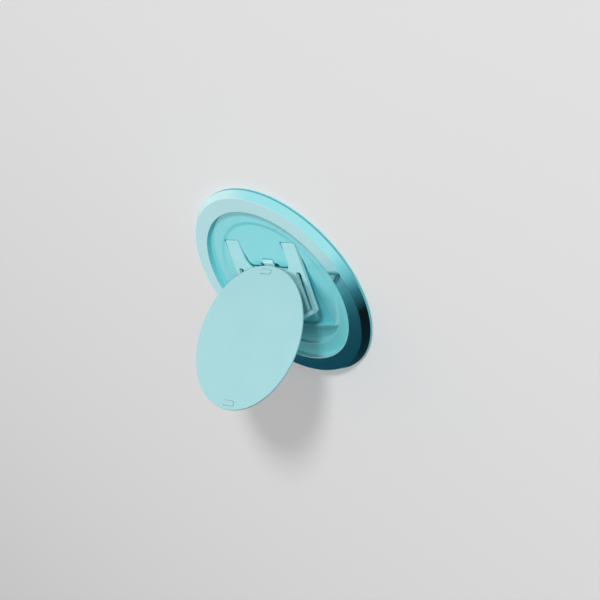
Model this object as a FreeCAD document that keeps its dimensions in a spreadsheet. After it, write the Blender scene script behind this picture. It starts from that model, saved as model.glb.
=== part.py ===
import FreeCAD, Part
import math
import os
import Sketcher
from types import SimpleNamespace
from FreeCAD import Placement, Rotation, Vector

# Fold-out magnetic phone grip, shown propped open as a stand.
# Origin: centre of the back face. +Z points away from the phone, +Y towards the arm's hinge.
# Every hinge axis runs along X. Lengths are millimetres, angles are degrees.

SIZES = (
    ("base_radius", 28.0, "outer radius of the ring"),
    ("base_height", 2.8, "back face to ring face"),
    ("wall_height", 0.9, "height of the edge between the ring's wall and its shoulder"),
    ("shoulder_width", 1.25, "width of the ring's sloped shoulder"),
    ("face_width", 4.0, "width of the flat ring face"),
    ("shoulder_ease", 0.35, "chamfer where the wall meets the shoulder"),
    ("face_ease", 0.2, "chamfer at the outer edge of the face"),
    ("rim_ease", 0.12, "chamfer at the inner edge of the face"),
    ("recess_draft", 0.12, "inward lean of the recess wall over its depth"),
    ("wall_thickness", 1.45, "ring's wall outside the magnets"),
    ("magnet_width", 3.1, "radial width of the magnets"),
    ("magnet_count", 18, "number of magnets in the ring"),
    ("magnet_spacing", 1.2, "angle between two magnets"),
    ("seat_gap", 0.05, "play round parts that lie in a seat"),
    ("plate_thickness", 0.3, "thickness of the back plate"),
    ("plate_margin", 0.12, "back plate's edge inside the ring's wall"),
    ("floor_height", 1.5, "height of the recess floor"),
    ("seat_depth", 0.1, "depth of the disc's seat in the recess floor"),
    ("seat_slope", 0.4, "width of the sloped edge of the seat"),
    ("hinge_y", 12.4, "height of the arm's hinge axis above the centre"),
    ("under_gap", 0.15, "gap between the closed arm and the back plate"),
    ("link_thickness", 0.9, "thickness of arm and props"),
    ("arm_length", 18.6, "arm hinge to prop hinge"),
    ("arm_half_width", 12.95, "half the arm's width"),
    ("leg_width", 4.75, "width of one arm leg"),
    ("leg_length", 8.0, "arm hinge to the edge of the arm's web"),
    ("leg_fillet", 3.3, "rounding between leg and web"),
    ("rail_width", 1.25, "width of the rail outside the prop's slot"),
    ("slot_width", 1.8, "width of the slot that takes prop and hinge ear"),
    ("slot_round", 0.7, "rounding at the closed end of the slot"),
    ("corner_round", 1.2, "rounding of the arm's outer corners"),
    ("web_grip", 1.0, "length of the prop's pin inside the web"),
    ("rail_grip", 0.7, "length of the prop's pin inside the rail"),
    ("ledge_half_width", 6.2, "half the width of the ledge under the disc's edge"),
    ("ledge_reach", 0.85, "ledge beyond the edge of the web"),
    ("ledge_drop", 0.25, "ledge surface below the arm's middle"),
    ("ledge_thickness", 0.3, "thickness of the ledge"),
    ("catch_half_width", 1.85, "half the width of the catch"),
    ("catch_start", 4.95, "arm hinge to the foot of the catch's ramp"),
    ("catch_ramp", 0.9, "length of the catch's ramp"),
    ("catch_crest", 0.1, "length of the catch's flat crest"),
    ("catch_drop", 0.25, "length of the catch's steep side"),
    ("catch_height", 0.28, "crest of the catch above the ledge"),
    ("side_gap", 0.45, "gap beside the arm's legs"),
    ("end_gap", 0.2, "gap beyond rounded link ends"),
    ("ledge_gap", 0.25, "gap between the closed arm's ledge and the bay's upper edge"),
    ("bay_margin", 4.95, "room in the bay below the closed arm"),
    ("bay_end_radius", 80.0, "radius of the bay's curved lower end"),
    ("island_round", 1.9, "rounding of the land between the legs"),
    ("notch_side_gap", 0.2, "gap beside the catch in its notch"),
    ("relief_gap", 1.65, "room beside the catch at the edge of the land"),
    ("relief_rise", 0.85, "edge of the land to the top of that room"),
    ("relief_round", 0.55, "rounding of that room's corners"),
    ("press_bar", 0.6, "bar between the bay and the press panel"),
    ("press_depth", 0.85, "depth of the press panel at its round edge"),
    ("prop_length", 9.93, "prop hinge to disc hinge"),
    ("prop_width", 0.85, "width of one prop"),
    ("slide_gap", 0.1, "side play of a prop in its slot"),
    ("disc_margin", 4.0, "recess floor outside the closed disc"),
    ("disc_thickness", 0.9, "thickness of the disc"),
    ("close_gap", 0.1, "gap between the closed disc and its seat"),
    ("disc_bevel", 0.4, "bevel round the back of the disc"),
    ("disc_ease", 0.15, "chamfer round the front of the disc"),
    ("disc_clearance", 0.2, "gap round the disc in its seat"),
    ("pip_inset", 1.65, "edge of the disc to the middle of a raised pip"),
    ("pip_length", 4.1, "length of a pip"),
    ("pip_width", 1.2, "width of a pip"),
    ("pip_height", 0.22, "height of a pip over the disc"),
    ("ear_width", 0.65, "width of the disc's hinge ear"),
    ("foot_width", 3.4, "width of the ear's foot"),
    ("foot_length", 6.0, "length of the ear's foot"),
    ("foot_thickness", 0.4, "thickness of the ear's foot"),
    ("arm_pin_radius", 0.3, "radius of the arm's hinge pins"),
    ("arm_pin_grip", 0.9, "length of the arm's pins inside each wall"),
    ("link_pin_radius", 0.22, "radius of the pins at both ends of the props"),
    ("running_gap", 0.04, "radial play of a part that turns on a pin"),
    ("press_gap", 0.01, "radial play of a pin in the part that holds it"),
    ("arm_angle", 9.0, "arm above the back plane"),
    ("rest_play", 0.45, "foot of the catch to the edge of the propped disc"),
    ("rest_gap", 0.16, "ledge to the edge of the propped disc"),
)

FULL_TURN = 360.0
QUARTER_TURN = 90.0


class Size:
    """A length with its number and the sheet formula that gives it."""

    def __init__(self, value, text):
        self.value = value
        self.text = text

    def __add__(self, other):
        return Size(self.value + number(other), f"({self.text} + {formula(other)})")

    def __sub__(self, other):
        return Size(self.value - number(other), f"({self.text} - {formula(other)})")

    def __mul__(self, other):
        return Size(self.value * number(other), f"({self.text} * {formula(other)})")

    def __truediv__(self, other):
        return Size(self.value / number(other), f"({self.text} / {formula(other)})")

    def __neg__(self):
        return Size(-self.value, f"(-1 * {self.text})")


def number(length):
    return length.value if isinstance(length, Size) else float(length)


def formula(length):
    return length.text if isinstance(length, Size) else repr(float(length))


doc = FreeCAD.newDocument("phone_grip")
sheet = doc.addObject("Spreadsheet::Sheet", "Sizes")
for row, (alias, value, meaning) in enumerate(SIZES, start=1):
    sheet.set(f"A{row}", meaning)
    sheet.set(f"B{row}", str(value))
    sheet.setAlias(f"B{row}", alias)
doc.recompute()
dim = SimpleNamespace(**{alias: Size(float(sheet.get(alias)), f"Sizes.{alias}") for alias, _, _ in SIZES})


# Sketch and feature helpers

def bind(target, prop, length):
    """Set a property and tie it to the sheet."""
    target.setExpression(prop, formula(length))


def new_body(name):
    body = doc.addObject("PartDesign::Body", name)
    body.Label = name
    return body


def origin_plane(body, role):
    return next(item for item in body.Origin.OriginFeatures if item.Role == role)


def new_sketch(body, role, name, shift=0.0):
    sketch = body.newObject("Sketcher::SketchObject", name)
    sketch.AttachmentSupport = [(origin_plane(body, role), "")]
    sketch.MapMode = "FlatFace"
    sketch.AttachmentOffset = Placement(Vector(0, 0, number(shift)), Rotation())
    bind(sketch, "AttachmentOffset.Base.z", shift)
    return sketch


def constrain(sketch, constraint, length):
    index = sketch.addConstraint(constraint)
    if isinstance(length, Size):
        sketch.setExpression(f"Constraints[{index}]", length.text)


def fix_point(sketch, curve, end, x, y):
    """Tie a point to its distances from the sketch's axes."""
    for kind, axis, length in (("DistanceX", -2, x), ("DistanceY", -1, y)):
        if not isinstance(length, Size) and length == 0:
            sketch.addConstraint(Sketcher.Constraint("PointOnObject", curve, end, axis))
        else:
            rule = Sketcher.Constraint(kind, -1, 1, curve, end, number(length))
            constrain(sketch, rule, length)


def polygon(sketch, corners):
    points = [Vector(number(x), number(y), 0) for x, y in corners]
    first = sketch.GeometryCount
    for start, end in zip(points, points[1:] + points[:1]):
        sketch.addGeometry(Part.LineSegment(start, end), False)
    for index, (x, y) in enumerate(corners):
        following = first + (index + 1) % len(corners)
        sketch.addConstraint(Sketcher.Constraint("Coincident", first + index, 2, following, 1))
        fix_point(sketch, first + index, 1, x, y)


def rectangle(sketch, left, right, low, high):
    polygon(sketch, ((left, low), (right, low), (right, high), (left, high)))


def circle(sketch, x, y, radius):
    centre = Vector(number(x), number(y), 0)
    curve = sketch.addGeometry(Part.Circle(centre, Vector(0, 0, 1), number(radius)), False)
    fix_point(sketch, curve, 3, x, y)
    constrain(sketch, Sketcher.Constraint("Radius", curve, number(radius)), radius)


def pad(body, sketch, name, length):
    feature = body.newObject("PartDesign::Pad", name)
    feature.Profile = sketch
    bind(feature, "Length", length)
    return feature


def cut(body, sketch, name, length=None):
    """Cut along the sketch plane's own normal, right through where no length is given."""
    feature = body.newObject("PartDesign::Pocket", name)
    feature.Profile = sketch
    feature.Reversed = True
    if length is None:
        feature.Type = "ThroughAll"
    else:
        bind(feature, "Length", length)
    return feature


def revolve(body, sketch, name):
    feature = body.newObject("PartDesign::Revolution", name)
    feature.Profile = sketch
    feature.ReferenceAxis = (sketch, ["V_Axis"])
    feature.Angle = FULL_TURN
    return feature


def mirror(body, name, features):
    feature = body.newObject("PartDesign::Mirrored", name)
    feature.Originals = features
    feature.MirrorPlane = (origin_plane(body, "YZ_Plane"), [""])
    body.Tip = feature
    return feature


def round_edges(body, name, radius, chosen):
    """Fillet the edges of the body's present shape that a test picks out."""
    doc.recompute()
    base = body.Tip
    names = [f"Edge{i}" for i, edge in enumerate(base.Shape.Edges, start=1) if chosen(edge)]
    feature = body.newObject("PartDesign::Fillet", name)
    feature.Base = (base, names)
    bind(feature, "Radius", radius)
    return feature


def ease_edge(body, name, size, radius, height):
    """Chamfer one full circle about Z of the body's present shape."""
    doc.recompute()
    base = body.Tip
    chosen = ring_edge(radius, height)
    names = [f"Edge{i}" for i, edge in enumerate(base.Shape.Edges, start=1) if chosen(edge)]
    feature = body.newObject("PartDesign::Chamfer", name)
    feature.Base = (base, names)
    bind(feature, "Size", size)
    return feature


def near(a, b):
    return abs(a - b) < 1e-4


def ring_edge(radius, height):
    """Test for a full circle about Z."""
    def chosen(edge):
        curve = edge.Curve
        is_circle = isinstance(curve, Part.Circle)
        return is_circle and near(curve.Radius, number(radius)) and near(curve.Center.z, number(height))
    return chosen


def upright_edge(x, y):
    """Test for a straight edge along Z at plus or minus x."""
    def chosen(edge):
        box = edge.BoundBox
        thin = near(box.XLength, 0) and near(box.YLength, 0)
        return thin and near(abs(box.Center.x), number(x)) and near(box.Center.y, number(y))
    return chosen


def cylinder(name, radius, length):
    item = doc.addObject("Part::Cylinder", name)
    bind(item, "Radius", radius)
    bind(item, "Height", length)
    return item


def boolean(kind, name, base, tool):
    item = doc.addObject(kind, name)
    item.Base = base
    item.Tool = tool
    return item


# Places of the hinges in the propped-open pose

def turned(angle, length):
    """A step of some length along Y, turned about X."""
    turn = math.radians(angle)
    return Vector(0, length * math.cos(turn), length * math.sin(turn))


def pose(hinge, turn):
    return Placement(hinge, Rotation(Vector(1, 0, 0), turn))


# Shared sizes and places
face_radius = dim.base_radius - dim.shoulder_width
recess_radius = face_radius - dim.face_width
recess_low = recess_radius - dim.recess_draft
groove_outer = dim.base_radius - dim.wall_thickness
magnet_outer = groove_outer - dim.seat_gap
magnet_inner = magnet_outer - dim.magnet_width
tray_radius = magnet_inner - dim.seat_gap
plate_radius = dim.base_radius - dim.plate_margin
disc_radius = recess_radius - dim.disc_margin
seat_radius = disc_radius + dim.disc_clearance
seat_floor = dim.floor_height - dim.seat_depth
link_radius = dim.link_thickness / 2
axis_height = dim.plate_thickness + dim.under_gap + link_radius
disc_offset = seat_floor + dim.close_gap - axis_height
disc_front = disc_offset + dim.disc_thickness
leg_inner = dim.arm_half_width - dim.leg_width
slot_outer = dim.arm_half_width - dim.rail_width
slot_inner = slot_outer - dim.slot_width
prop_outer = slot_outer - dim.slide_gap
prop_inner = prop_outer - dim.prop_width
ear_outer = prop_inner - dim.slide_gap
ear_inner = ear_outer - dim.ear_width
slot_end = dim.arm_length - dim.prop_length - link_radius - dim.end_gap - dim.slot_round / 2
channel_inner = leg_inner - dim.side_gap
bay_half_width = dim.arm_half_width + dim.side_gap
bay_top = dim.hinge_y - dim.leg_length + dim.ledge_reach + dim.ledge_gap
bay_corner = dim.hinge_y - dim.arm_length - link_radius - dim.bay_margin
arm_end = dim.arm_length + link_radius
crest_start = dim.catch_start + dim.catch_ramp
crest_end = crest_start + dim.catch_crest
catch_end = crest_end + dim.catch_drop
arm_pin_hole = dim.arm_pin_radius + dim.running_gap
arm_pin_seat = dim.arm_pin_radius + dim.press_gap
link_pin_hole = dim.link_pin_radius + dim.running_gap
link_pin_seat = dim.link_pin_radius + dim.press_gap

# The disc's hinge lies this far above the disc's centre, so that the closed disc is centred.
ear_rise = dim.hinge_y - dim.arm_length + dim.prop_length


def propped_angles():
    """Angles of props and disc over the arm when the disc's edge lies on the ledge below the catch."""
    along = (dim.arm_length - catch_end - dim.rest_play).value
    below = (dim.ledge_drop - dim.rest_gap).value
    edge_reach = (disc_radius - ear_rise).value
    edge_depth = (disc_offset + dim.disc_bevel).value
    side = math.hypot(along, below)
    edge = math.hypot(edge_reach, edge_depth)
    prop = dim.prop_length.value
    at_prop = math.acos((side ** 2 + prop ** 2 - edge ** 2) / (2 * side * prop))
    at_edge = math.acos((side ** 2 + edge ** 2 - prop ** 2) / (2 * side * edge))
    lean = math.atan2(below, along)
    prop_angle = math.degrees(at_prop - lean)
    disc_angle = math.degrees(at_edge + lean + math.atan2(edge_depth, edge_reach))
    return prop_angle, disc_angle


prop_over_arm, disc_over_arm = propped_angles()
arm_turn = -dim.arm_angle.value
prop_turn = arm_turn + prop_over_arm
disc_turn = arm_turn - disc_over_arm
arm_hinge = Vector(0, dim.hinge_y.value, axis_height.value)
prop_hinge = arm_hinge + turned(arm_turn, -dim.arm_length.value)
disc_hinge = prop_hinge + turned(prop_turn, dim.prop_length.value)
arm_pose = pose(arm_hinge, arm_turn)
prop_pose = pose(prop_hinge, prop_turn)
disc_pose = pose(disc_hinge, disc_turn)


def build_ring():
    """Ring with a sloped shoulder, and a step behind its face for magnets and tray."""
    body = new_body("outer_ring")
    profile = new_sketch(body, "XZ_Plane", "ring_profile")
    polygon(profile, (
        (groove_outer, dim.plate_thickness),
        (dim.base_radius, dim.plate_thickness),
        (dim.base_radius, dim.wall_height),
        (face_radius, dim.base_height),
        (recess_radius, dim.base_height),
        (recess_low, dim.floor_height),
        (groove_outer, dim.floor_height),
    ))
    revolve(body, profile, "ring_turning")
    eased = (
        ("shoulder_easing", dim.shoulder_ease, dim.base_radius, dim.wall_height),
        ("face_easing", dim.face_ease, face_radius, dim.base_height),
        ("rim_easing", dim.rim_ease, recess_radius, dim.base_height),
    )
    for name, size, radius, height in eased:
        ease_edge(body, name, size, radius, height)
    return body


def build_tray():
    """Recess floor with the disc's seat, the bay for the folded linkage and the press panel."""
    body = new_body("tray_blank")
    profile = new_sketch(body, "XZ_Plane", "tray_profile")
    polygon(profile, (
        (0, dim.plate_thickness),
        (tray_radius, dim.plate_thickness),
        (tray_radius, dim.floor_height),
        (seat_radius, dim.floor_height),
        (seat_radius - dim.seat_slope, seat_floor),
        (0, seat_floor),
    ))
    revolve(body, profile, "tray_turning")

    bay = new_sketch(body, "XY_Plane", "bay_outline")
    draw_bay(bay)
    cut(body, bay, "bay")
    channels = new_sketch(body, "XY_Plane", "channel_outline")
    channel_top = dim.hinge_y + link_radius + dim.end_gap
    channel_low = bay_top - dim.island_round
    for left, right in ((channel_inner, bay_half_width), (-bay_half_width, -channel_inner)):
        rectangle(channels, left, right, channel_low, channel_top)
    cut(body, channels, "leg_channels")
    round_edges(body, "island_rounding", dim.island_round, upright_edge(channel_inner, bay_top))
    notch = new_sketch(body, "XY_Plane", "notch_outline")
    notch_half = dim.catch_half_width + dim.notch_side_gap
    notch_top = dim.hinge_y - dim.catch_start + dim.end_gap
    rectangle(notch, -notch_half, notch_half, channel_low, notch_top)
    cut(body, notch, "catch_notch")
    relief = new_sketch(body, "XY_Plane", "relief_outline")
    relief_half = dim.catch_half_width + dim.relief_gap
    relief_top = bay_top + dim.relief_rise
    rectangle(relief, -relief_half, relief_half, channel_low, relief_top)
    cut(body, relief, "catch_relief")
    round_edges(body, "relief_rounding", dim.relief_round, upright_edge(relief_half, relief_top))

    # Saddles for the arm's pins, open at the back where the back plate closes them
    saddle_start = channel_inner - dim.arm_pin_grip
    saddle_length = bay_half_width + dim.arm_pin_grip - saddle_start
    slots = new_sketch(body, "YZ_Plane", "saddle_slot", saddle_start)
    rectangle(slots, dim.hinge_y - arm_pin_seat, dim.hinge_y + arm_pin_seat, 0, axis_height)
    rounds = new_sketch(body, "YZ_Plane", "saddle_round", saddle_start)
    circle(rounds, dim.hinge_y, axis_height, arm_pin_seat)
    saddle_cuts = [
        cut(body, slots, "saddle_slot_cut", saddle_length),
        cut(body, rounds, "saddle_round_cut", saddle_length),
    ]
    mirror(body, "saddles", saddle_cuts)

    tray = boolean("Part::Cut", "tray_plate", body, build_press_panel())
    tray.Label = "tray_plate"
    return tray


def bay_end_centre():
    """Height of the centre of the arc through the bay's lower corners."""
    return bay_corner.value + math.sqrt(dim.bay_end_radius.value ** 2 - bay_half_width.value ** 2)


def draw_bay(sketch):
    """Straight sides, straight top and a shallow arc at the lower end."""
    left, right = -bay_half_width, bay_half_width
    centre = bay_end_centre()
    spread = math.asin(bay_half_width.value / dim.bay_end_radius.value)
    down = -math.pi / 2
    corners = ((right, bay_corner), (right, bay_top), (left, bay_top), (left, bay_corner))
    points = [Vector(number(x), number(y), 0) for x, y in corners]
    for start, end in zip(points, points[1:]):
        sketch.addGeometry(Part.LineSegment(start, end), False)
    curve = Part.Circle(Vector(0, centre, 0), Vector(0, 0, 1), dim.bay_end_radius.value)
    arc = sketch.addGeometry(Part.ArcOfCircle(curve, down - spread, down + spread), False)
    for line in (0, 1):
        sketch.addConstraint(Sketcher.Constraint("Coincident", line, 2, line + 1, 1))
    sketch.addConstraint(Sketcher.Constraint("Coincident", 2, 2, arc, 1))
    sketch.addConstraint(Sketcher.Constraint("Coincident", arc, 2, 0, 1))
    for line, (x, y) in enumerate(corners[:3]):
        fix_point(sketch, line, 1, x, y)
    fix_point(sketch, 2, 2, *corners[3])
    constrain(sketch, Sketcher.Constraint("Radius", arc, dim.bay_end_radius.value), dim.bay_end_radius)


def build_press_panel():
    """Room below the bar, which slopes down to the seat's round edge, so that a press there tips the disc up."""
    room = cylinder("press_room", seat_radius, dim.press_depth + dim.seat_depth)
    low = Vector(0, 0, (seat_floor - dim.press_depth).value)
    room.Placement = Placement(low, Rotation())
    bar_radius = dim.bay_end_radius + dim.press_bar
    run = seat_radius - bar_radius + bay_end_centre()
    slope = doc.addObject("Part::Cone", "press_slope")
    bind(slope, "Radius1", bar_radius + run)
    bind(slope, "Radius2", bar_radius - run * dim.seat_depth / dim.press_depth)
    bind(slope, "Height", dim.press_depth + dim.seat_depth)
    slope.Placement = Placement(low + Vector(0, bay_end_centre(), 0), Rotation())
    return boolean("Part::Cut", "press_panel", room, slope)


def build_back_plate():
    plate = cylinder("back_plate", plate_radius, dim.plate_thickness)
    plate.Label = "back_plate"
    return plate


def build_magnets():
    """Arc magnets side by side in the groove behind the ring face."""
    inner, outer = magnet_inner.value, magnet_outer.value
    thickness = (dim.floor_height - dim.plate_thickness - dim.seat_gap * 2).value
    count = int(dim.magnet_count.value)
    pitch = FULL_TURN / count
    span = pitch - dim.magnet_spacing.value
    base = Vector(0, 0, (dim.plate_thickness + dim.seat_gap).value)
    up = Vector(0, 0, 1)
    magnet = Part.makeCylinder(outer, thickness, base, up, span).cut(
        Part.makeCylinder(inner, thickness, base, up, span))
    ring = []
    for index in range(count):
        copy = magnet.copy()
        copy.rotate(Vector(0, 0, 0), up, index * pitch)
        ring.append(copy)
    item = doc.addObject("Part::Feature", "magnet_segments")
    item.Label = "magnet_segments"
    item.Shape = Part.makeCompound(ring)
    return item


def build_pin(name, radius, start, end, hinge, side):
    """Round pin along X between two distances from the middle, on one side."""
    pin = cylinder(name, radius, end - start)
    pin.Label = name
    first = start.value if side > 0 else -end.value
    pin.Placement = Placement(hinge + Vector(first, 0, 0), Rotation(Vector(0, 1, 0), QUARTER_TURN))
    return pin


def build_arm():
    """Forked plate: two hinge legs, a web with two open slots, and the catch for the disc."""
    body = new_body("arm_frame")
    plate = new_sketch(body, "XY_Plane", "arm_outline", -link_radius)
    rectangle(plate, -dim.arm_half_width, dim.arm_half_width, -arm_end, 0)
    pad(body, plate, "arm_plate", dim.link_thickness)
    round_edges(body, "corner_rounding", dim.corner_round, upright_edge(dim.arm_half_width, -arm_end))
    barrel = new_sketch(body, "YZ_Plane", "barrel_outline", -dim.arm_half_width)
    circle(barrel, 0, 0, link_radius)
    pad(body, barrel, "barrels", dim.arm_half_width * 2)

    gap = new_sketch(body, "XY_Plane", "leg_gap_outline", -dim.link_thickness)
    rectangle(gap, -leg_inner, leg_inner, -dim.leg_length, dim.link_thickness)
    cut(body, gap, "leg_gap")
    round_edges(body, "leg_rounding", dim.leg_fillet, upright_edge(leg_inner, -dim.leg_length))
    slots = new_sketch(body, "XY_Plane", "slot_outline", -dim.link_thickness)
    slot_low = -arm_end - dim.link_thickness
    for left, right in ((slot_inner, slot_outer), (-slot_outer, -slot_inner)):
        rectangle(slots, left, right, slot_low, -slot_end)
    cut(body, slots, "prop_slots")
    for name, edge_x in (("slot_outer_rounding", slot_outer), ("slot_inner_rounding", slot_inner)):
        round_edges(body, name, dim.slot_round, upright_edge(edge_x, -slot_end))

    ledge_low = -dim.ledge_drop - dim.ledge_thickness
    ledge = new_sketch(body, "XY_Plane", "ledge_outline", ledge_low)
    ledge_edge = dim.ledge_reach - dim.leg_length
    rectangle(ledge, -dim.ledge_half_width, dim.ledge_half_width, -dim.leg_length - dim.leg_fillet, ledge_edge)
    pad(body, ledge, "ledge", dim.ledge_thickness)
    catch = new_sketch(body, "YZ_Plane", "catch_outline", -dim.catch_half_width)
    polygon(catch, (
        (-dim.leg_length, ledge_low),
        (-dim.leg_length, -dim.ledge_drop),
        (-catch_end, -dim.ledge_drop),
        (-crest_end, dim.catch_height - dim.ledge_drop),
        (-crest_start, dim.catch_height - dim.ledge_drop),
        (-dim.catch_start, -dim.ledge_drop),
        (-dim.catch_start, ledge_low),
    ))
    pad(body, catch, "catch", dim.catch_half_width * 2)

    leg_holes = new_sketch(body, "YZ_Plane", "leg_hole_outline", -dim.arm_half_width)
    circle(leg_holes, 0, 0, arm_pin_hole)
    cut(body, leg_holes, "leg_holes", dim.arm_half_width * 2)
    prop_hole = new_sketch(body, "YZ_Plane", "prop_hole_outline", slot_inner - dim.web_grip)
    circle(prop_hole, -dim.arm_length, 0, link_pin_seat)
    prop_cut = cut(body, prop_hole, "prop_hole", dim.arm_half_width - slot_inner + dim.web_grip)
    mirror(body, "prop_holes", [prop_cut])
    body.Placement = arm_pose
    return body


def build_prop(name, side):
    """Strut with a round end at each hinge."""
    body = new_body(name)
    first = prop_inner if side > 0 else -prop_outer
    bar = new_sketch(body, "YZ_Plane", f"{name}_bar", first)
    rectangle(bar, 0, dim.prop_length, -link_radius, link_radius)
    pad(body, bar, f"{name}_strip", dim.prop_width)
    ends = new_sketch(body, "YZ_Plane", f"{name}_ends", first)
    holes = new_sketch(body, "YZ_Plane", f"{name}_holes", first)
    for y in (0, dim.prop_length):
        circle(ends, y, 0, link_radius)
        circle(holes, y, 0, link_pin_hole)
    pad(body, ends, f"{name}_eyes", dim.prop_width)
    cut(body, holes, f"{name}_bores", dim.prop_width)
    body.Placement = prop_pose
    return body


def build_disc():
    """Thin round plate, bevelled behind, with two raised pips on its face."""
    body = new_body("disc_plate")
    profile = new_sketch(body, "XZ_Plane", "disc_profile")
    polygon(profile, (
        (0, disc_offset),
        (disc_radius - dim.disc_bevel, disc_offset),
        (disc_radius, disc_offset + dim.disc_bevel),
        (disc_radius, disc_front),
        (0, disc_front),
    ))
    revolve(body, profile, "disc_turning")
    ease_edge(body, "disc_easing", dim.disc_ease, disc_radius, disc_front)
    pip_bars = new_sketch(body, "XY_Plane", "pip_bar_outline", disc_front - dim.pip_height)
    pip_ends = new_sketch(body, "XY_Plane", "pip_end_outline", disc_front - dim.pip_height)
    pip_radius = dim.pip_width / 2
    straight = dim.pip_length / 2 - pip_radius
    pip_middle = disc_radius - dim.pip_inset
    for middle in (pip_middle, -pip_middle):
        rectangle(pip_bars, -straight, straight, middle - pip_radius, middle + pip_radius)
        circle(pip_ends, straight, middle, pip_radius)
        circle(pip_ends, -straight, middle, pip_radius)
    pad(body, pip_bars, "pip_bars", dim.pip_height * 2)
    pad(body, pip_ends, "pip_ends", dim.pip_height * 2)
    feet = new_sketch(body, "XY_Plane", "foot_seat_outline", disc_offset - dim.foot_thickness)
    half = dim.foot_length / 2 + dim.seat_gap
    outer = ear_outer + dim.seat_gap
    inner = ear_outer - dim.foot_width - dim.seat_gap
    for left, right in ((inner, outer), (-outer, -inner)):
        rectangle(feet, left, right, ear_rise - half, ear_rise + half)
    cut(body, feet, "foot_seats", dim.foot_thickness * 2)
    body.Placement = disc_pose.multiply(Placement(Vector(0, -ear_rise.value, 0), Rotation()))
    return body


def build_bracket(name, side):
    """Hinge bracket let into the back of the disc: a flat foot and a round-ended ear."""
    body = new_body(name)
    foot = new_sketch(body, "XY_Plane", f"{name}_foot_outline", disc_offset)
    half = dim.foot_length / 2
    inner = ear_outer - dim.foot_width
    left, right = (inner, ear_outer) if side > 0 else (-ear_outer, -inner)
    rectangle(foot, left, right, -half, half)
    pad(body, foot, f"{name}_foot", dim.foot_thickness)
    ear_start = ear_inner if side > 0 else -ear_outer
    ear = new_sketch(body, "YZ_Plane", f"{name}_ear_outline", ear_start)
    rectangle(ear, -link_radius, link_radius, 0, disc_offset + dim.foot_thickness / 2)
    pad(body, ear, f"{name}_ear", dim.ear_width)
    eye = new_sketch(body, "YZ_Plane", f"{name}_eye_outline", ear_start)
    circle(eye, 0, 0, link_radius)
    pad(body, eye, f"{name}_eye", dim.ear_width)
    hole = new_sketch(body, "YZ_Plane", f"{name}_hole_outline", ear_start)
    circle(hole, 0, 0, link_pin_seat)
    cut(body, hole, f"{name}_hole", dim.ear_width)
    body.Placement = disc_pose
    return body


parts = [
    build_ring(),
    build_tray(),
    build_back_plate(),
    build_magnets(),
    build_arm(),
    build_disc(),
]
for hand, side in (("left", -1), ("right", 1)):
    pin_start = channel_inner - dim.arm_pin_grip
    pin_end = bay_half_width + dim.arm_pin_grip
    parts += [
        build_pin(f"arm_pin_{hand}", dim.arm_pin_radius, pin_start, pin_end, arm_hinge, side),
        build_pin(f"prop_pin_{hand}", dim.link_pin_radius, slot_inner - dim.web_grip,
                  slot_outer + dim.rail_grip, prop_hinge, side),
        build_pin(f"disc_pin_{hand}", dim.link_pin_radius, ear_inner, prop_outer, disc_hinge, side),
        build_prop(f"prop_strut_{hand}", side),
        build_bracket(f"hinge_bracket_{hand}", side),
    ]

doc.recompute()
for name, hinge in (("arm", arm_hinge), ("prop", prop_hinge), ("disc", disc_hinge)):
    print(f"{name} hinge at y {hinge.y:.4f}, z {hinge.z:.4f} mm")
print(f"props {prop_turn:.3f} and disc {-disc_turn:.3f} degrees above the back plane")

failed = [item.Name for item in doc.Objects if {"Invalid", "Error"} & set(item.State)]
if failed:
    raise RuntimeError(f"features failed: {failed}")
for item in parts:
    if item.Shape.isNull() or not item.Shape.isValid():
        raise RuntimeError(f"bad shape: {item.Label}")

os.makedirs("parts", exist_ok=True)
for item in parts:
    item.Shape.exportStep(os.path.join("parts", f"{item.Label}.step"))
    print(f"{item.Label}: {len(item.Shape.Solids)} solid(s), {item.Shape.Volume:.3f} mm3")
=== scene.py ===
import math

import bmesh
import bpy
from mathutils import Matrix, Vector


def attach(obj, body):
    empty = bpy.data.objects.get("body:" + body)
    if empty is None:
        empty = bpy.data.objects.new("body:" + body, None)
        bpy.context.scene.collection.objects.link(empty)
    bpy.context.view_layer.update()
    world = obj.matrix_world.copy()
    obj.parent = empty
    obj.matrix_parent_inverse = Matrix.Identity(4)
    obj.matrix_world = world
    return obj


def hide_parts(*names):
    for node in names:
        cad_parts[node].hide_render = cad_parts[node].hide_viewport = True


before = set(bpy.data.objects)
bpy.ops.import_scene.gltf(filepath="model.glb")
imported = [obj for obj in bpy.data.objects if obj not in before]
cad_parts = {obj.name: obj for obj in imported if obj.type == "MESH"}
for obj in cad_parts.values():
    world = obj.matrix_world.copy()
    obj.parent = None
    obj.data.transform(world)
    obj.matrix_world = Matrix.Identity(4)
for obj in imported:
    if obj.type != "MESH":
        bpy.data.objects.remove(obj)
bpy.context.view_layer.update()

MM = 0.001

# Sizes of the grip, in millimetres and degrees, as the solids have them
BASE_RADIUS, BASE_HEIGHT, WALL_HEIGHT = 28.0, 2.8, 0.9
FACE_RADIUS, RECESS_RADIUS, RECESS_LOW = 26.75, 22.75, 22.63
GROOVE_RADIUS, TRAY_RADIUS, PLATE_RADIUS = 26.55, 23.35, 27.88
PLATE_TOP, TRAY_FLOOR, SEAT_FLOOR, SEAT_RADIUS = 0.3, 1.5, 1.4, 18.95
HINGE_Y, AXIS_Z = 12.4, 0.9
LINK_RADIUS = 0.45
ARM_LENGTH, ARM_END, ARM_HALF, LEG_INNER, CORNER_ROUND = 18.6, 19.05, 12.95, 8.2, 1.2
LEG_LENGTH, LEG_FILLET = 8.0, 3.3
SLOT_INNER, SLOT_OUTER, SLOT_END, SLOT_ROUND = 9.9, 11.7, 7.67, 0.7
LEDGE_HALF, LEDGE_REACH, LEDGE_TOP, LEDGE_LOW = 6.2, 0.85, -0.25, -0.55
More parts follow.
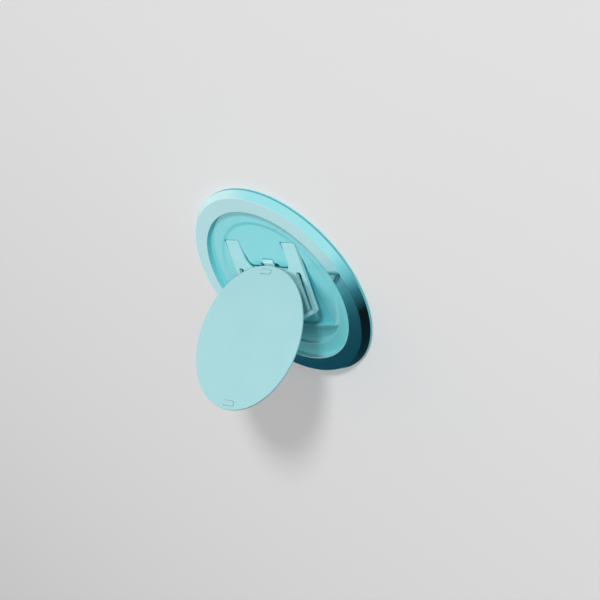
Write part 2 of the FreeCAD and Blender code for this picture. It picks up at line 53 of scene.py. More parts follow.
CATCH_HALF, CATCH_START, CATCH_RAMP, CATCH_CREST, CATCH_DROP = 1.85, 4.95, 0.9, 0.1, 0.25
CATCH_TOP = 0.03
BAY_HALF, BAY_TOP, BAY_CORNER, BAY_END_RADIUS = 13.4, 5.5, -11.6, 80.0
CHANNEL_INNER, CHANNEL_TOP, ISLAND_ROUND = 7.75, 13.05, 1.9
NOTCH_HALF, NOTCH_TOP = 2.05, 7.65
RELIEF_HALF, RELIEF_TOP, RELIEF_ROUND = 3.5, 6.35, 0.55
PRESS_BAR, PRESS_DEPTH = 0.6, 0.85
PROP_LENGTH, PROP_INNER, PROP_OUTER = 9.93, 10.75, 11.6
EAR_INNER, EAR_OUTER, EAR_RISE = 10.0, 10.65, 3.73
DISC_RADIUS, DISC_BACK, DISC_FRONT, DISC_BEVEL = 18.75, 0.6, 1.5, 0.4
PIP_MIDDLE, PIP_HALF, PIP_RADIUS, PIP_TOP = 17.1, 1.45, 0.6, 1.72
FOOT_WIDTH, FOOT_HALF, FOOT_THICKNESS, SEAT_GAP = 3.4, 3.0, 0.4, 0.05
ARM_PIN_HOLE, ARM_PIN_SEAT, ARM_PIN_GRIP = 0.34, 0.31, 0.9
LINK_PIN_HOLE, LINK_PIN_SEAT, WEB_GRIP = 0.26, 0.23, 1.0
ARM_TURN, PROP_TURN, DISC_TURN = -9.0, 76.98959, -54.41632

# Finer or softer forms than the solids have, in millimetres
SEAT_SLOPE, SEAT_ROUND = 0.9, 7.5
RING_FOOT_ROUND, RING_WALL_ROUND, RING_FACE_ROUND, RING_RIM_ROUND = 0.06, 0.45, 0.25, 0.07
PLATE_LOW_ROUND, PLATE_HIGH_ROUND = 0.08, 0.06
BAY_ROUND, CHANNEL_ROUND, MOUTH_ROUND, NOTCH_ROUND = 0.3, 0.35, 0.2, 0.15
ARM_END_ROUND, LEDGE_ROUND, CATCH_ROUND, CREST_ROUND = 0.12, 0.08, 0.05, 0.1
DISC_BACK_ROUND, DISC_SIDE_ROUND, DISC_FRONT_ROUND = 0.15, 0.2, 0.22
PIP_GROOVE, PIP_ROOT, PIP_EDGE, PIP_BEND, PIP_INSET = 0.12, 0.2, 0.09, 0.03, 0.1
FOOT_INNER_ROUND, FOOT_OUTER_ROUND, FOOT_CHAMFER = 0.3, 0.02, 0.05
EASE, LEDGE_EASE, CATCH_EASE = 0.07, 0.05, 0.08

# The share of an ease at which its bend lies, the share of the bay's end that is one arc, and
# the power by which the press panel falls
EASE_BEND, BAY_END_SHARE, PRESS_POWER = 0.3, 0.95, 3

# Cutting tools, in millimetres: the chamfer that they leave, and how far they stand out
FLARE = 0.13
SLIVER, REACH, MARGIN, CLEAR = 0.01, 0.06, 0.1, 1.0

# Counts of steps round a curve
SEGMENTS = 256
ARC_STEPS, END_STEPS, ROUND_STEPS = 8, 12, 16
BAY_END_STEPS, PRESS_STEPS, BAR_COUNT, ROD_COUNT = 24, 8, 720, 24

# Limits of the mesh work: a length that counts as none, the narrowest mitre, the distance at
# which points are joined in millimetres, and the angle of a sharp edge in degrees
TINY = 1e-9
MITRE_LIMIT = 0.3
JOIN_DISTANCE = 0.002
SHARP_ANGLE = 32


# Outlines, lists of points in millimetres

def rounded(points, radii, closed=True, steps=ARC_STEPS):
    """An outline with arcs of the given radii in place of its corners."""
    made = []
    count = len(points)
    for i, (point, radius) in enumerate(zip(points, radii)):
        corner = Vector(point)
        if radius <= 0 or (not closed and i in (0, count - 1)):
            made.append(tuple(corner))
            continue
        back = (Vector(points[i - 1]) - corner).normalized()
        ahead = (Vector(points[(i + 1) % count]) - corner).normalized()
        half = back.angle(ahead) / 2
        centre = corner + (back + ahead).normalized() * (radius / math.sin(half))
        start = corner + back * (radius / math.tan(half)) - centre
        end = corner + ahead * (radius / math.tan(half)) - centre
        sweep = start.angle_signed(end)
        for step in range(steps + 1):
            turn = -sweep * step / steps
            made.append(tuple(centre + Vector((
                start.x * math.cos(turn) - start.y * math.sin(turn),
                start.x * math.sin(turn) + start.y * math.cos(turn)))))
    return made


def arc(centre, radius, start, end, steps):
    """Points on an arc, angles in degrees."""
    made = []
    for step in range(steps + 1):
        turn = math.radians(start + (end - start) * step / steps)
        made.append((centre[0] + radius * math.cos(turn), centre[1] + radius * math.sin(turn)))
    return made


def circle(centre, radius, count):
    return arc(centre, radius, 0, 360 - 360 / count, count - 1)


def stadium(start, end, radius, steps):
    """A bar with round ends along the first axis, anticlockwise."""
    return arc(end, radius, -90, 90, steps) + arc(start, radius, 90, 270, steps)


def offset(outline, distance):
    """An anticlockwise outline moved outwards by a distance."""
    made = []
    count = len(outline)
    for i, point in enumerate(outline):
        before = (Vector(point) - Vector(outline[i - 1])).normalized()
        after = (Vector(outline[(i + 1) % count]) - Vector(point)).normalized()
        normal = Vector((before.y + after.y, -before.x - after.x))
        normal = normal.normalized() if normal.length > TINY else Vector((after.y, -after.x))
        stretch = max(normal.dot(Vector((after.y, -after.x))), MITRE_LIMIT)
        made.append(tuple(Vector(point) + normal * (distance / stretch)))
    return made


def mirrored(outline, side):
    """An outline of the right, or its mirror image for the left."""
    return outline if side > 0 else [(-x, y) for x, y in reversed(outline)]


# Solids

def new_object(name, mesh_data):
    mesh = bpy.data.meshes.new(name)
    mesh_data.to_mesh(mesh)
    mesh_data.free()
    obj = bpy.data.objects.new(name, mesh)
    bpy.context.scene.collection.objects.link(obj)
    return obj


def stack(name, rings):
    """A closed solid through rings of points of the same count, in order."""
    made = bmesh.new()
    rows = [[made.verts.new(Vector(p) * MM) for p in ring] for ring in rings]
    count = len(rows[0])
    for low, high in zip(rows, rows[1:]):
        for i in range(count):
            j = (i + 1) % count
            made.faces.new((low[i], low[j], high[j], high[i]))
    made.faces.new(list(reversed(rows[0])))
    made.faces.new(rows[-1])
    bmesh.ops.recalc_face_normals(made, faces=made.faces)
    return new_object(name, made)


def layered(name, outline, levels):
    """A solid along Z, from an outline that grows by a given amount at each height."""
    return stack(name, [[(x, y, z) for x, y in offset(outline, grow)] for z, grow in levels])


def upright(name, outline, low, high, flare_low=0.0, flare_high=0.0):
    """A prism along Z with a chamfer at its ends, which widens it, or narrows it if negative."""
    levels = [(low, flare_low), (low + abs(flare_low), 0.0),
              (high - abs(flare_high), 0.0), (high, flare_high)]
    if flare_low == 0:
        levels.pop(1)
    if flare_high == 0:
        levels.pop(-2)
    return layered(name, outline, levels)


def crosswise(name, outline, start, end, ease=EASE):
    """A prism along X of an outline in Y and Z, with its end edges eased."""
    bend = ease * EASE_BEND
    levels = ((start, -ease), (start + bend, -bend), (start + ease, 0.0),
              (end - ease, 0.0), (end - bend, -bend), (end, -ease))
    if ease == 0:
        levels = ((start, 0.0), (end, 0.0))
    return stack(name, [[(x, y, z) for y, z in offset(outline, grow)] for x, grow in levels])


def lathe(name, path):
    """A closed solid turned about Z from a closed path of radius and height."""
    made = bmesh.new()
    columns = []
    for radius, height in path:
        if radius < TINY:
            columns.append([made.verts.new((0, 0, height * MM))] * SEGMENTS)
            continue
        columns.append([made.verts.new((
            radius * MM * math.cos(2 * math.pi * i / SEGMENTS),
            radius * MM * math.sin(2 * math.pi * i / SEGMENTS),
            height * MM)) for i in range(SEGMENTS)])
    for first, second in zip(columns, columns[1:] + columns[:1]):
        for i in range(SEGMENTS):
            j = (i + 1) % SEGMENTS
            corners = []
            for vert in (first[i], first[j], second[j], second[i]):
                if vert not in corners:
                    corners.append(vert)
            if len(corners) > 2:
                made.faces.new(corners)
    bmesh.ops.recalc_face_normals(made, faces=made.faces)
    return new_object(name, made)


def rod(name, radius, y, z, start, end):
    return crosswise(name, circle((y, z), radius, ROD_COUNT), start, end, 0)


def settle(target):
    """Apply the modifiers of an object."""
    graph = bpy.context.evaluated_depsgraph_get()
    mesh = bpy.data.meshes.new_from_object(target.evaluated_get(graph))
    target.modifiers.clear()
    target.data = mesh


def combine(target, tool, operation):
    """Cut or join with a tool, which is then gone."""
    step = target.modifiers.new(operation, "BOOLEAN")
    step.operation = operation
    step.solver = "EXACT"
    step.object = tool
    settle(target)
    bpy.data.objects.remove(tool)


def dress(target, material, body, nodes, turn=0.0, hinge=None):
    """Place a piece in its pose, smooth it, and hand it to a body in place of its solids."""
    mesh = target.data
    if hinge is not None:
        spin = Matrix.Rotation(math.radians(turn), 4, "X")
        mesh.transform(Matrix.Translation(hinge * MM) @ spin)
    cleaned = bmesh.new()
    cleaned.from_mesh(mesh)
    bmesh.ops.remove_doubles(cleaned, verts=cleaned.verts, dist=JOIN_DISTANCE * MM)
    cleaned.to_mesh(mesh)
    cleaned.free()
    for face in mesh.polygons:
        face.use_smooth = True
    mesh.set_sharp_from_angle(angle=math.radians(SHARP_ANGLE))
    weighted = target.modifiers.new("normals", "WEIGHTED_NORMAL")
    weighted.keep_sharp = True
    settle(target)
    target.data.name = target.name
    target.data.materials.clear()
    target.data.materials.append(material)
    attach(target, body)
    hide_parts(*nodes)
    return target


# Materials

CLOUD_SCALE, CLOUD_DETAIL, CLOUD_ROUGHNESS = 90.0, 4.0, 0.55
CLOUD_START, CLOUD_END = 0.3, 0.7
GRAIN_DETAIL, GRAIN_ROUGHNESS, GRAIN_HEIGHT = 3.0, 0.6, 0.00002
GLOSS_SPREAD = 0.12
SHOULDER_START, SHOULDER_END = FACE_RADIUS - 0.05, FACE_RADIUS + 0.15
SHOULDER_COLOUR = (0.38, 0.86, 0.90)


def node(tree, kind, **inputs):
    made = tree.nodes.new(kind)
    for name, value in inputs.items():
        made.inputs[name.replace("_", " ")].default_value = value
    return made


def finish(name, colour, spread, roughness, metallic, grain, depth, ior=1.5):
    """A satin finish: fine blasted grain, soft clouding of the tint and of the roughness."""
    material = bpy.data.materials.new(name)
    material.use_nodes = True
    tree = material.node_tree
    shader = tree.nodes["Principled BSDF"]
    shader.inputs["Metallic"].default_value = metallic
    shader.inputs["IOR"].default_value = ior
    place = tree.nodes.new("ShaderNodeTexCoord")
    clouds = node(tree, "ShaderNodeTexNoise",
                  Scale=CLOUD_SCALE, Detail=CLOUD_DETAIL, Roughness=CLOUD_ROUGHNESS)
    tree.links.new(place.outputs["Object"], clouds.inputs["Vector"])
    tint = tree.nodes.new("ShaderNodeValToRGB")
    dark, light = tint.color_ramp.elements
    dark.position, light.position = CLOUD_START, CLOUD_END
    dark.color = [c * (1 - spread) for c in colour] + [1]
    light.color = [c * (1 + spread) for c in colour] + [1]
    tree.links.new(clouds.outputs["Fac"], tint.inputs["Fac"])
    tree.links.new(tint.outputs["Color"], shader.inputs["Base Color"])
    speckle = node(tree, "ShaderNodeTexNoise",
                   Scale=grain, Detail=GRAIN_DETAIL, Roughness=GRAIN_ROUGHNESS)
    tree.links.new(place.outputs["Object"], speckle.inputs["Vector"])
    gloss = node(tree, "ShaderNodeMapRange",
                 To_Min=roughness * (1 - GLOSS_SPREAD), To_Max=roughness * (1 + GLOSS_SPREAD))
    tree.links.new(speckle.outputs["Fac"], gloss.inputs["Value"])
    tree.links.new(gloss.outputs["Result"], shader.inputs["Roughness"])
    bump = node(tree, "ShaderNodeBump", Strength=depth, Distance=GRAIN_HEIGHT)
    tree.links.new(speckle.outputs["Fac"], bump.inputs["Height"])
    tree.links.new(bump.outputs["Normal"], shader.inputs["Normal"])
    return material


def tint_zone(material, start, end, colour):
    """Another colour outside a radius of a turned piece, blended in from start to end."""
    tree = material.node_tree
    base = tree.nodes["Principled BSDF"].inputs["Base Color"]
    place = tree.nodes.new("ShaderNodeTexCoord")
    flat = tree.nodes.new("ShaderNodeVectorMath")
    flat.operation = "MULTIPLY"
    flat.inputs[1].default_value = (1, 1, 0)
    tree.links.new(place.outputs["Object"], flat.inputs[0])
    radius = tree.nodes.new("ShaderNodeVectorMath")
    radius.operation = "LENGTH"
    tree.links.new(flat.outputs["Vector"], radius.inputs[0])
    zone = node(tree, "ShaderNodeMapRange", From_Min=start * MM, From_Max=end * MM)
    tree.links.new(radius.outputs["Value"], zone.inputs["Value"])
    mixed = tree.nodes.new("ShaderNodeMix")
    mixed.data_type = "RGBA"
    mixed.inputs["B"].default_value = (*colour, 1)
    tree.links.new(zone.outputs["Result"], mixed.inputs["Factor"])
    tree.links.new(base.links[0].from_socket, mixed.inputs["A"])
    tree.links.new(mixed.outputs["Result"], base)


ring_finish = finish("ring_anodised", (0.49, 0.77, 0.80), spread=0.02, roughness=0.085,
                     metallic=1.0, grain=2600.0, depth=0.15)
tint_zone(ring_finish, SHOULDER_START, SHOULDER_END, SHOULDER_COLOUR)
tray_finish = finish("tray_paint", (0.19, 0.66, 0.71), spread=0.03, roughness=0.17,
                     metallic=0.0, grain=6000.0, depth=0.06, ior=1.75)
# The disc's paint is a darker copy of the arm's cyan paint. The darkening is painted shade that
# offsets the stronger key light on the disc's face.
disc_shaded_finish = finish("disc_shaded_paint", (0.255, 0.535, 0.560), spread=0.02, roughness=0.30,
                     metallic=0.0, grain=6000.0, depth=0.08, ior=1.75)
link_finish = finish("link_paint", (0.36, 0.685, 0.715), spread=0.03, roughness=0.50,
                     metallic=0.0, grain=6000.0, depth=0.08, ior=1.3)
back_finish = finish("back_paint", (0.12, 0.68, 0.77), spread=0.03, roughness=0.40,
                     metallic=0.0, grain=6000.0, depth=0.10)
steel_finish = finish("pin_steel", (0.40, 0.56, 0.58), spread=0.04, roughness=0.30,
                      metallic=1.0, grain=4000.0, depth=0.08)
magnet_finish = finish("magnet_nickel", (0.62, 0.62, 0.64), spread=0.03, roughness=0.18,
                       metallic=1.0, grain=3000.0, depth=0.05)


# Ring, tray and back plate

def build_ring():
    """The ring, with the tray's paint on the wall of its recess."""
    path = rounded(
        ((GROOVE_RADIUS, PLATE_TOP), (BASE_RADIUS, PLATE_TOP), (BASE_RADIUS, WALL_HEIGHT),
         (FACE_RADIUS, BASE_HEIGHT), (RECESS_RADIUS, BASE_HEIGHT), (RECESS_LOW, TRAY_FLOOR),
         (GROOVE_RADIUS, TRAY_FLOOR)),
        (0, RING_FOOT_ROUND, RING_WALL_ROUND, RING_FACE_ROUND, RING_RIM_ROUND, 0, 0))
    ring = dress(lathe("ring_shell", path), ring_finish, "base", ["outer_ring"])
    ring.data.materials.append(tray_finish)
    for face in ring.data.polygons:
        if face.center.xy.length < RECESS_RADIUS * MM:
            face.material_index = 1


def bay_end_centre():
    """Where the arc of the bay's curved end has its centre, along Y."""
    return BAY_CORNER + math.sqrt(BAY_END_RADIUS ** 2 - BAY_HALF ** 2)


def bay_outline():
    """Open bay, both leg channels and the catch's notch as one outline."""
    right = ((BAY_HALF, BAY_CORNER), (BAY_HALF, CHANNEL_TOP), (CHANNEL_INNER, CHANNEL_TOP),
             (CHANNEL_INNER, BAY_TOP), (RELIEF_HALF, BAY_TOP), (RELIEF_HALF, RELIEF_TOP),
             (NOTCH_HALF, RELIEF_TOP), (NOTCH_HALF, NOTCH_TOP))
    left = tuple((-x, y) for x, y in reversed(right))
    radii = (BAY_ROUND, CHANNEL_ROUND, CHANNEL_ROUND, ISLAND_ROUND,
             MOUTH_ROUND, RELIEF_ROUND, NOTCH_ROUND, NOTCH_ROUND)
    spread = math.degrees(math.asin(BAY_HALF / BAY_END_RADIUS)) * BAY_END_SHARE
    end = arc((0, bay_end_centre()), BAY_END_RADIUS, -90 - spread, -90 + spread, BAY_END_STEPS)
    return rounded(right + left + tuple(end), radii + radii[::-1] + (0,) * len(end))


def press_panel():
    """A hollow that falls from the bar to the round edge of the seat, used for cutting."""
    low, high = SEAT_FLOOR - PRESS_DEPTH, TRAY_FLOOR + 2 * MARGIN
    bottom, radius = low - MARGIN / 2, SEAT_RADIUS + SLIVER
    room = lathe("press_cut", ((0, bottom), (radius, bottom), (radius, high), (0, high)))
    centre = bay_end_centre()
    bar = BAY_END_RADIUS + PRESS_BAR
    run = SEAT_RADIUS - bar + centre
    profile = [(run + CLEAR, low - MARGIN), (run + CLEAR, low - SLIVER)]
    for step in range(PRESS_STEPS, -1, -1):
        share = step / PRESS_STEPS
        fall = 1 - (1 - share) ** PRESS_POWER
        profile.append((run * share, SEAT_FLOOR - PRESS_DEPTH * fall))
    top = high + MARGIN
    profile.append((-run * (top - SEAT_FLOOR) / (PRESS_POWER * PRESS_DEPTH), top))
    rings = [[(x, y, z) for x, y in circle((0, centre), bar + reach, BAR_COUNT)]
             for reach, z in profile]
    combine(room, stack("slope_cut", rings), "DIFFERENCE")
    return room


def build_tray():
    path = rounded(
        ((0, PLATE_TOP), (TRAY_RADIUS, PLATE_TOP), (TRAY_RADIUS, TRAY_FLOOR),
         (SEAT_RADIUS, TRAY_FLOOR), (SEAT_RADIUS - SEAT_SLOPE, SEAT_FLOOR), (0, SEAT_FLOOR)),
        (0, 0, 0, SEAT_ROUND, SEAT_ROUND, 0))
    tray = lathe("tray_floor", path)
    bay = upright("bay_cut", bay_outline(), 0, SEAT_FLOOR + MARGIN / 2, 0, FLARE)
    combine(tray, bay, "DIFFERENCE")
    combine(tray, press_panel(), "DIFFERENCE")
    for side in (1, -1):
        ends = sorted((side * (CHANNEL_INNER - ARM_PIN_GRIP), side * (BAY_HALF + ARM_PIN_GRIP)))
        combine(tray, rod("saddle_cut", ARM_PIN_SEAT, HINGE_Y, AXIS_Z, *ends), "DIFFERENCE")
    dress(tray, tray_finish, "base", ["tray_plate"])


def build_back():
    path = rounded(
        ((0, 0), (PLATE_RADIUS, 0), (PLATE_RADIUS, PLATE_TOP), (0, PLATE_TOP)),
        (0, PLATE_LOW_ROUND, PLATE_HIGH_ROUND, 0))
    dress(lathe("back_cover", path), back_finish, "base", ["back_plate"])


# Arm, props, disc and brackets, each about its own hinge

def turned(angle, length):
    turn = math.radians(angle)
    return Vector((0, length * math.cos(turn), length * math.sin(turn)))


arm_hinge = Vector((0, HINGE_Y, AXIS_Z))
prop_hinge = arm_hinge + turned(ARM_TURN, -ARM_LENGTH)
disc_hinge = prop_hinge + turned(PROP_TURN, PROP_LENGTH)


def corner_outline():
    """What is cut off at the arm's outer corner on the right to round it."""
    inner, outer = ARM_HALF - CORNER_ROUND, ARM_HALF + CLEAR
    low = -ARM_END - CLEAR
    curve = arc((inner, CORNER_ROUND - ARM_END), CORNER_ROUND, 0, -90, ROUND_STEPS)
    return [(inner, low), (outer, low), (outer, curve[0][1])] + curve


def cut_arm(arm, name, outline):
    """Cut an outline through the arm's thickness."""
    reach = LINK_RADIUS + REACH
    combine(arm, upright(name, outline, -reach, reach, FLARE, FLARE), "DIFFERENCE")


def build_arm():
    side_view = arc((0, 0), LINK_RADIUS, -90, 90, END_STEPS) + rounded(
        ((0, LINK_RADIUS), (-ARM_END, LINK_RADIUS), (-ARM_END, -LINK_RADIUS), (0, -LINK_RADIUS)),
        (0, ARM_END_ROUND, ARM_END_ROUND, 0), closed=False)[1:-1]
    arm = crosswise("arm_fork", side_view, -ARM_HALF, ARM_HALF)
    beyond = 2 * CLEAR
    gap = rounded(
        ((-LEG_INNER, -LEG_LENGTH), (LEG_INNER, -LEG_LENGTH),
         (LEG_INNER, beyond), (-LEG_INNER, beyond)),
        (LEG_FILLET, LEG_FILLET, 0, 0), steps=ROUND_STEPS)
    cut_arm(arm, "gap_cut", gap)
    for side in (1, -1):
        left, right = sorted((side * SLOT_INNER, side * SLOT_OUTER))
        slot = rounded(
            ((left, -ARM_LENGTH - beyond), (right, -ARM_LENGTH - beyond),
             (right, -SLOT_END), (left, -SLOT_END)),
            (0, 0, SLOT_ROUND, SLOT_ROUND))
        cut_arm(arm, "slot_cut", slot)
        cut_arm(arm, "corner_cut", mirrored(corner_outline(), side))
    root, edge = -LEG_LENGTH - CLEAR, LEDGE_REACH - LEG_LENGTH
    ledge = rounded(
        ((root, LEDGE_LOW), (edge, LEDGE_LOW), (edge, LEDGE_TOP), (root, LEDGE_TOP)),
        (0, LEDGE_ROUND, LEDGE_ROUND, 0))
    combine(arm, crosswise("ledge", ledge, -LEDGE_HALF, LEDGE_HALF, LEDGE_EASE), "UNION")
    crest_start = CATCH_START + CATCH_RAMP
    crest_end = crest_start + CATCH_CREST
    catch = rounded(
        ((-LEG_LENGTH, LEDGE_LOW), (-CATCH_START, LEDGE_LOW), (-CATCH_START, LEDGE_TOP),
         (-crest_start, CATCH_TOP), (-crest_end, CATCH_TOP), (-crest_end - CATCH_DROP, LEDGE_TOP),
         (-LEG_LENGTH, LEDGE_TOP)),
        (0, CATCH_ROUND, CATCH_ROUND, CREST_ROUND, CATCH_ROUND, CATCH_ROUND, 0))
    combine(arm, crosswise("catch", catch, -CATCH_HALF, CATCH_HALF, CATCH_EASE), "UNION")
    side_end = ARM_HALF + CLEAR
    combine(arm, rod("leg_bore", ARM_PIN_HOLE, 0, 0, -side_end, side_end), "DIFFERENCE")
    for side in (1, -1):
        ends = sorted((side * (SLOT_INNER - WEB_GRIP), side * side_end))
        combine(arm, rod("prop_bore", LINK_PIN_SEAT, -ARM_LENGTH, 0, *ends), "DIFFERENCE")
    dress(arm, link_finish, "arm", ["arm_frame"], ARM_TURN, arm_hinge)


def build_prop(hand, side):
    start, end = sorted((side * PROP_INNER, side * PROP_OUTER))
    outline = stadium((0, 0), (PROP_LENGTH, 0), LINK_RADIUS, END_STEPS)
    prop = crosswise(f"prop_{hand}", outline, start, end)
    for y in (0, PROP_LENGTH):
        bore = rod("bore", LINK_PIN_HOLE, y, 0, start - CLEAR, end + CLEAR)
        combine(prop, bore, "DIFFERENCE")
    dress(prop, link_finish, "prop", [f"prop_strut_{hand}"], PROP_TURN, prop_hinge)


def foot_outline(grow):
    """Outline of a bracket's foot on the right, about the disc's hinge."""
    inner, outer, half = EAR_OUTER - FOOT_WIDTH - grow, EAR_OUTER + grow, FOOT_HALF + grow
    return rounded(
        ((inner, -half), (outer, -half), (outer, half), (inner, half)),
        (FOOT_INNER_ROUND, FOOT_OUTER_ROUND, FOOT_OUTER_ROUND, FOOT_INNER_ROUND))


def build_disc():
    path = rounded(
        ((0, DISC_BACK), (DISC_RADIUS - DISC_BEVEL, DISC_BACK),
         (DISC_RADIUS, DISC_BACK + DISC_BEVEL), (DISC_RADIUS, DISC_FRONT), (0, DISC_FRONT)),
        (0, DISC_BACK_ROUND, DISC_SIDE_ROUND, DISC_FRONT_ROUND, 0))
    disc = lathe("disc_face", path)
    groove_low, groove_high = DISC_FRONT - PIP_GROOVE, DISC_FRONT + MARGIN
    pip_levels = ((DISC_FRONT - PIP_ROOT, 0), (PIP_TOP - PIP_EDGE, 0),
                  (PIP_TOP - PIP_BEND, -PIP_BEND), (PIP_TOP, -PIP_INSET))
    for middle in (PIP_MIDDLE, -PIP_MIDDLE):
        pip = stadium((-PIP_HALF, middle), (PIP_HALF, middle), PIP_RADIUS, ROUND_STEPS)
        groove = upright("pip_groove", offset(pip, PIP_GROOVE), groove_low, groove_high)
        combine(disc, groove, "DIFFERENCE")
        combine(disc, layered("pip", pip, pip_levels), "UNION")
    for side in (1, -1):
        seat = [(x, y + EAR_RISE) for x, y in mirrored(foot_outline(SEAT_GAP), side)]
        combine(disc, upright("seat", seat, 0, DISC_BACK + FOOT_THICKNESS), "DIFFERENCE")
    disc.data.transform(Matrix.Translation(Vector((0, -EAR_RISE, 0)) * MM))
    dress(disc, disc_shaded_finish, "disc", ["disc_plate"], DISC_TURN, disc_hinge)


def build_bracket(hand, side):
    foot = mirrored(foot_outline(0), side)
    foot_top = DISC_BACK + FOOT_THICKNESS
    bracket = upright(f"bracket_{hand}", foot, DISC_BACK, foot_top, -FOOT_CHAMFER)
    start, end = sorted((side * EAR_INNER, side * EAR_OUTER))
    root = DISC_BACK + FOOT_THICKNESS / 2
    ear = arc((0, 0), LINK_RADIUS, 180, 360, ROUND_STEPS)
    ear += [(LINK_RADIUS, root), (-LINK_RADIUS, root)]
    combine(bracket, crosswise("ear", ear, start, end), "UNION")
    combine(bracket, rod("bore", LINK_PIN_SEAT, 0, 0, start - CLEAR, end + CLEAR), "DIFFERENCE")
    dress(bracket, link_finish, "disc", [f"hinge_bracket_{hand}"], DISC_TURN, disc_hinge)


build_ring()
build_tray()
build_back()
build_arm()
build_disc()
for hand, side in (("left", -1), ("right", 1)):
    build_prop(hand, side)
    build_bracket(hand, side)

# Pins and magnets keep the meshes of the solids
carried = {"magnet_segments": magnet_finish}
for hand in ("left", "right"):
    for pin in ("arm_pin", "prop_pin", "disc_pin"):
        carried[f"{pin}_{hand}"] = steel_finish
for name, material in carried.items():
    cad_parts[name].data.materials.clear()
    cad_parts[name].data.materials.append(material)


# Floor, light and camera, in metres

FLOOR_HALF, FLOOR_DROP = 3.0, 0.00003
FLOOR_COLOUR, FLOOR_ROUGHNESS, FLOOR_SHEEN = (0.79, 0.795, 0.795, 1), 0.8, 0.2


def build_floor():
    """A plain pale floor; the dome's ground is seen in reflections in its place."""
    made = bmesh.new()
    corners = [made.verts.new((x * FLOOR_HALF, y * FLOOR_HALF, -FLOOR_DROP))
               for x, y in ((-1, -1), (1, -1), (1, 1), (-1, 1))]
    made.faces.new(corners)
    floor = new_object("floor", made)
    material = bpy.data.materials.new("floor_paper")
    material.use_nodes = True
    shader = material.node_tree.nodes["Principled BSDF"]
    shader.inputs["Base Color"].default_value = FLOOR_COLOUR
    shader.inputs["Roughness"].default_value = FLOOR_ROUGHNESS
    shader.inputs["Specular IOR Level"].default_value = FLOOR_SHEEN
    floor.data.materials.append(material)
    floor.visible_glossy = False


# The dome's colour by how far a direction points along SKY_TOWARDS: a sharp edge between light
# and dark on the left, a soft one on the right, blended by X from SIDE_START to SIDE_END
SKY_TOWARDS = (-0.1, 0.995, 0.0)
SHARP_SKY = (
    (-0.95, (0.012, 0.03, 0.035, 1)),
    (-0.60, (0.012, 0.066, 0.095, 1)),
    (-0.391, (0.010, 0.075, 0.11, 1)),
    (-0.368, (0.07, 0.42, 0.50, 1)),
    (-0.353, (0.95, 0.97, 0.98, 1)),
    (-0.05, (0.95, 0.97, 0.98, 1)),
    (0.22, (1.40, 1.08, 1.05, 1)),
    (0.62, (1.55, 1.06, 1.04, 1)),
    (0.86, (0.95, 0.97, 0.98, 1)))
SOFT_SKY = (
    (-0.80, (0.008, 0.012, 0.014, 1)),
    (-0.52, (0.07, 0.20, 0.24, 1)),
    (-0.24, (0.38, 0.66, 0.70, 1)),
    (0.15, (0.95, 0.97, 0.98, 1)))
SIDE_START, SIDE_END = -0.4, 0.4
GROUND_COLOUR, GROUND_START, GROUND_FULL = (0.36, 0.52, 0.55, 1), -0.36, -0.48
SKY_LIGHT, SKY_SHEEN = 0.38, 0.92


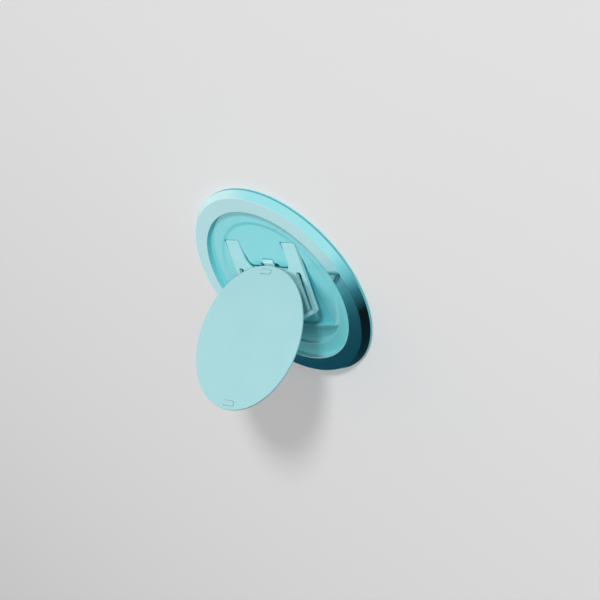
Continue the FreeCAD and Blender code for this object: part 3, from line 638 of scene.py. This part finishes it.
def build_world():
    """A soft dome over a pale ground, dark beyond the press panel, brighter in reflections."""
    world = bpy.data.worlds.new("studio")
    world.use_nodes = True
    bpy.context.scene.world = world
    tree = world.node_tree
    place = tree.nodes.new("ShaderNodeTexCoord")
    facing = tree.nodes.new("ShaderNodeVectorMath")
    facing.operation = "DOT_PRODUCT"
    facing.inputs[1].default_value = Vector(SKY_TOWARDS).normalized()
    tree.links.new(place.outputs["Generated"], facing.inputs[0])
    height = node(tree, "ShaderNodeMapRange", From_Min=-1.0, From_Max=1.0)
    tree.links.new(facing.outputs["Value"], height.inputs["Value"])
    axes = tree.nodes.new("ShaderNodeSeparateXYZ")
    tree.links.new(place.outputs["Generated"], axes.inputs["Vector"])
    side = node(tree, "ShaderNodeMapRange", From_Min=SIDE_START, From_Max=SIDE_END)
    tree.links.new(axes.outputs["X"], side.inputs["Value"])
    sky = tree.nodes.new("ShaderNodeMix")
    sky.data_type = "RGBA"
    tree.links.new(side.outputs["Result"], sky.inputs["Factor"])
    for socket, levels in (("A", SHARP_SKY), ("B", SOFT_SKY)):
        ramp = tree.nodes.new("ShaderNodeValToRGB")
        stops = ramp.color_ramp.elements
        while len(stops) < len(levels):
            stops.new(0.5)
        for stop, (level, colour) in zip(stops, levels):
            stop.position = (level + 1) / 2
            stop.color = colour
        tree.links.new(height.outputs["Result"], ramp.inputs["Fac"])
        tree.links.new(ramp.outputs["Color"], sky.inputs[socket])
    below = node(tree, "ShaderNodeMapRange", From_Min=GROUND_START, From_Max=GROUND_FULL)
    tree.links.new(axes.outputs["Z"], below.inputs["Value"])
    ground = tree.nodes.new("ShaderNodeMix")
    ground.data_type = "RGBA"
    ground.inputs["B"].default_value = GROUND_COLOUR
    tree.links.new(below.outputs["Result"], ground.inputs["Factor"])
    tree.links.new(sky.outputs["Result"], ground.inputs["A"])
    background = tree.nodes["Background"]
    tree.links.new(ground.outputs["Result"], background.inputs["Color"])
    rays = tree.nodes.new("ShaderNodeLightPath")
    strength = node(tree, "ShaderNodeMapRange", To_Min=SKY_LIGHT, To_Max=SKY_SHEEN)
    tree.links.new(rays.outputs["Is Glossy Ray"], strength.inputs["Value"])
    tree.links.new(strength.outputs["Result"], background.inputs["Strength"])


LIGHT_AIM = (0, 0, 0.01)
KEY_PLACE, KEY_SIZE, KEY_POWER = (1.326, 1.698, 1.05), 0.36, 39.0
TOP_PLACE, TOP_SIZE, TOP_POWER = (0.3, 0.3, 1.45), 0.9, 8.2


def area_light(name, place, size, power):
    light = bpy.data.lights.new(name, "AREA")
    light.shape = "DISK"
    light.size = size
    light.energy = power
    lamp = bpy.data.objects.new(name, light)
    lamp.location = place
    ahead = Vector(LIGHT_AIM) - Vector(place)
    lamp.rotation_euler = ahead.to_track_quat("-Z", "Y").to_euler()
    lamp.visible_glossy = False
    lamp.visible_camera = False
    bpy.context.scene.collection.objects.link(lamp)


CAMERA_PLACE = (0.257952, 0.147894, 0.180264)
CAMERA_AIM = (0.0028047, -0.0059723, 0.0)
CAMERA_ROLL = -134.04596
CAMERA_LENS, CAMERA_SENSOR = 82.3186, 36.0
CLIP_START, CLIP_END = 0.01, 10


def build_camera():
    data = bpy.data.cameras.new("camera")
    data.lens = CAMERA_LENS
    data.sensor_width = CAMERA_SENSOR
    data.clip_start, data.clip_end = CLIP_START, CLIP_END
    camera = bpy.data.objects.new("camera", data)
    bpy.context.scene.collection.objects.link(camera)
    ahead = (Vector(CAMERA_AIM) - Vector(CAMERA_PLACE)).normalized()
    level = ahead.cross(Vector((0, 0, 1))).normalized()
    above = level.cross(ahead)
    roll = math.radians(CAMERA_ROLL)
    right = level * math.cos(roll) + above * math.sin(roll)
    up = above * math.cos(roll) - level * math.sin(roll)
    turn = Matrix((right, up, -ahead)).transposed().to_4x4()
    camera.matrix_world = Matrix.Translation(CAMERA_PLACE) @ turn
    bpy.context.scene.camera = camera


build_floor()
build_world()
area_light("key", KEY_PLACE, KEY_SIZE, KEY_POWER)
area_light("top", TOP_PLACE, TOP_SIZE, TOP_POWER)
build_camera()
bpy.context.scene.view_settings.view_transform = "Standard"
